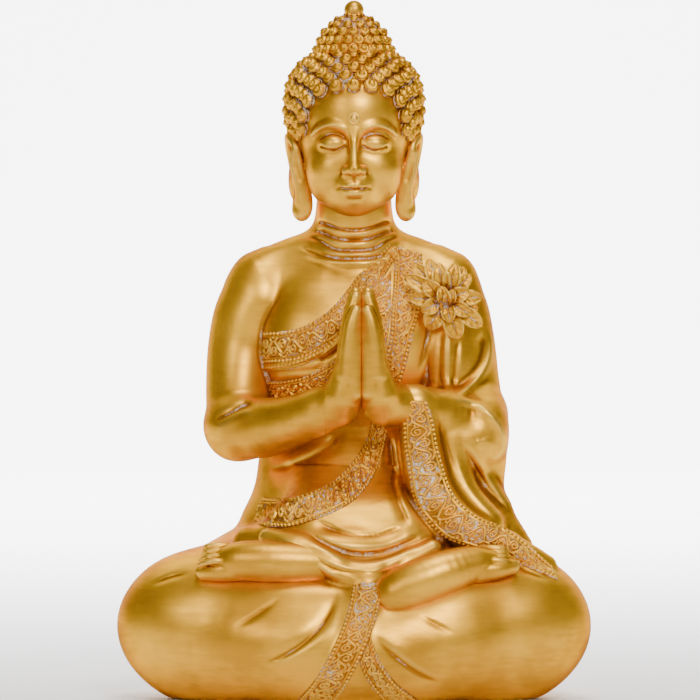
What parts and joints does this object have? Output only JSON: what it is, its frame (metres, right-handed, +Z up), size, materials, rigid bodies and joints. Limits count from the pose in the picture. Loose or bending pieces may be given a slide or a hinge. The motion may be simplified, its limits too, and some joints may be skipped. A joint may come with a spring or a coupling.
{
  "type": "buddha statue",
  "caption": "Seated, praying Buddha statue of gilded cast resin: crossed legs, joined palms, draped robe with relief borders, shoulder flower, curled hair and topknot.",
  "frame": {"origin": "on the floor, under the middle of the statue's bounding box", "axes": "+Z up, the figure faces -Y, and +X is the figure's own left-hand side"},
  "size_m": [0.2877, 0.1787, 0.418],
  "materials": {
    "satin_gold": "cast resin with a satin metallic gold paint, brushed on",
    "washed_gold": "the same gold paint with a white wash left in the hollows of its relief",
    "bare_resin": "unpainted cream cast resin",
    "felt": "thin black felt",
    "steel": "plain steel rod"
  },
  "bodies": {
    "root": {"crossed_legs": "satin_gold", "base_plate": "bare_resin", "felt_pad_front_left": "felt", "felt_pad_front_right": "felt", "felt_pad_back_left": "felt", "felt_pad_back_right": "felt", "torso": "satin_gold", "neck": "satin_gold", "neck_dowel": "steel", "head": "satin_gold", "hair_cap": "washed_gold", "topknot": "washed_gold", "finial": "satin_gold", "finial_pin": "steel", "urna": "satin_gold", "left_ear": "satin_gold", "right_ear": "satin_gold", "right_arm": "satin_gold", "right_hand": "satin_gold", "left_hand": "satin_gold", "left_foot": "satin_gold", "right_foot": "satin_gold", "left_sleeve": "satin_gold", "sleeve_fall": "satin_gold", "lap_drape": "satin_gold", "chest_band": "washed_gold", "shoulder_band": "washed_gold", "lower_chest_band": "washed_gold", "waist_sash": "washed_gold", "sleeve_band": "washed_gold", "skirt_band_long": "washed_gold", "skirt_band_short": "washed_gold", "flower_outer_petals": "washed_gold", "flower_inner_petals": "washed_gold", "flower_bud": "washed_gold"}
  },
  "joints": []
}
